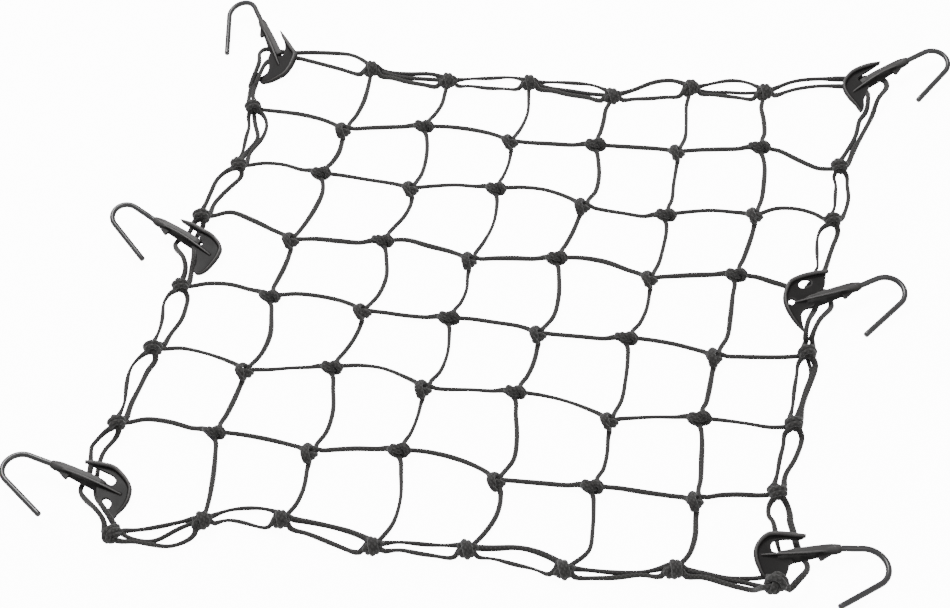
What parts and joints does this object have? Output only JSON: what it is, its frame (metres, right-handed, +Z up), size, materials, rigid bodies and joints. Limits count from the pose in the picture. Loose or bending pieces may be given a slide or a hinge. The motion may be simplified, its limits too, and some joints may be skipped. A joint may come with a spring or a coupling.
{
  "type": "cargo net",
  "caption": "Knotted elastic-cord cargo net, laid flat, with a doubled border cord and moulded clip claws that each carry a coated wire hook.",
  "frame": {"origin": "bottom centre of the bounding box", "axes": "+Z up from the surface the net lies on, +X along the row of near-edge knots to the right, +Y to the far edge"},
  "size_m": [0.5018, 0.4588, 0.0169],
  "materials": {
    "elastic_cord": "braided, matt",
    "moulded_plastic": "moulded, satin",
    "coated_wire": "smooth plastic coat over steel"
  },
  "bodies": {
    "root": {"net": "elastic_cord", "claw_far_left": "moulded_plastic", "wire_far_left": "coated_wire", "claw_mid_left": "moulded_plastic", "wire_mid_left": "coated_wire", "claw_near_left": "moulded_plastic", "wire_near_left": "coated_wire", "claw_far_right": "moulded_plastic", "wire_far_right": "coated_wire", "claw_mid_right": "moulded_plastic", "wire_mid_right": "coated_wire", "claw_near_right": "moulded_plastic", "wire_near_right": "coated_wire"}
  },
  "joints": []
}
